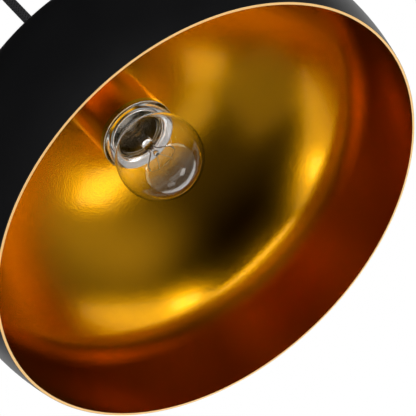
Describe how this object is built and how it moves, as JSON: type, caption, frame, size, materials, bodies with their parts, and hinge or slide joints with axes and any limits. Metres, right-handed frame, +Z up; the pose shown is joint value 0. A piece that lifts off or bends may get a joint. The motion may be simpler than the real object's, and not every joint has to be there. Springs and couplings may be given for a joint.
{
  "type": "pendant lamp",
  "caption": "Pendant lamp with a domed metal shade, a screw-in round bulb in a tubular socket with a bright ring, and a cord from a small ceiling cup.",
  "frame": {"origin": "centre of the ceiling bracket's top face, in the plane of the ceiling, on the lamp's axis", "axes": "+Z up, the lamp hangs below; +X along the bracket towards one canopy screw; -Y is the side that faces the picture's camera"},
  "size_m": [0.24, 0.24, 0.35],
  "materials": {
    "shade_paint": "satin black outside, satin gold inside",
    "chrome": "polished",
    "gold_metal": "satin",
    "black_metal": "satin",
    "porcelain": "glazed",
    "brass": "bright",
    "steel": "zinc plated",
    "black_plastic": "matte",
    "white_plastic": "matte",
    "cord_sleeve": "woven",
    "core_insulation": "smooth",
    "clear_glass": "clear",
    "filament_wire": "dull",
    "lead_wire": "dull",
    "cap_metal": "satin",
    "black_glass": "glossy",
    "solder": "dull"
  },
  "bodies": {
    "ceiling_group": {"ceiling_canopy": "black_metal", "ceiling_bracket": "steel", "canopy_screws": "black_metal", "ceiling_cord_grip": "black_plastic", "ceiling_grip_screw": "black_plastic", "ceiling_grip_nut": "steel", "terminal_block": "white_plastic", "terminal_inserts": "brass", "terminal_screws": "steel", "terminal_block_screw": "steel", "ceiling_cores": "core_insulation"},
    "cord": {"supply_cord": "cord_sleeve"},
    "lamp": {"shade": "shade_paint", "chrome_ring": "chrome", "socket_sleeve": "gold_metal", "neck_cap": "black_metal", "socket_insert": "porcelain", "screw_shell": "brass", "centre_contact": "brass", "shell_rivet": "brass", "socket_terminals": "brass", "socket_terminal_screws": "steel", "socket_bridge": "steel", "bridge_screws": "steel", "earth_lug": "brass", "earth_screw": "brass", "nipple": "steel", "nipple_nut": "steel", "lamp_cord_grip": "black_plastic", "lamp_grip_screw": "black_plastic", "socket_cores": "core_insulation"},
    "bulb_travel": {"bulb_contact": "solder"},
    "bulb": {"bulb_glass": "clear_glass", "bulb_stem": "clear_glass", "bulb_filament": "filament_wire", "bulb_lead_wires": "lead_wire", "bulb_support_wires": "lead_wire", "bulb_cap": "cap_metal", "bulb_insulator": "black_glass"}
  },
  "joints": [
    {"name": "swing", "type": "hinge", "parent": "ceiling_group", "child": "cord", "pos_m": [0, 0, -0.04], "axis": [1, 0, 0], "range_deg": [-15, 15]},
    {"name": "tilt", "type": "hinge", "parent": "cord", "child": "lamp", "pos_m": [0, 0, -0.184], "axis": [0, 1, 0], "range_deg": [-12, 12]},
    {"name": "bulb_drop", "type": "slide", "parent": "lamp", "child": "bulb_travel", "axis": [0, 0, -1], "range_m": [0, 0.01815]},
    {"name": "bulb_unscrew", "type": "hinge", "parent": "bulb_travel", "child": "bulb", "pos_m": [0, 0, -0.264], "axis": [0, 0, -1], "range_deg": [0, 1800]}
  ],
  "couplings": [
    {"joint": "bulb_unscrew", "follows": "bulb_drop", "rad_per_m": 1731.4}
  ]
}
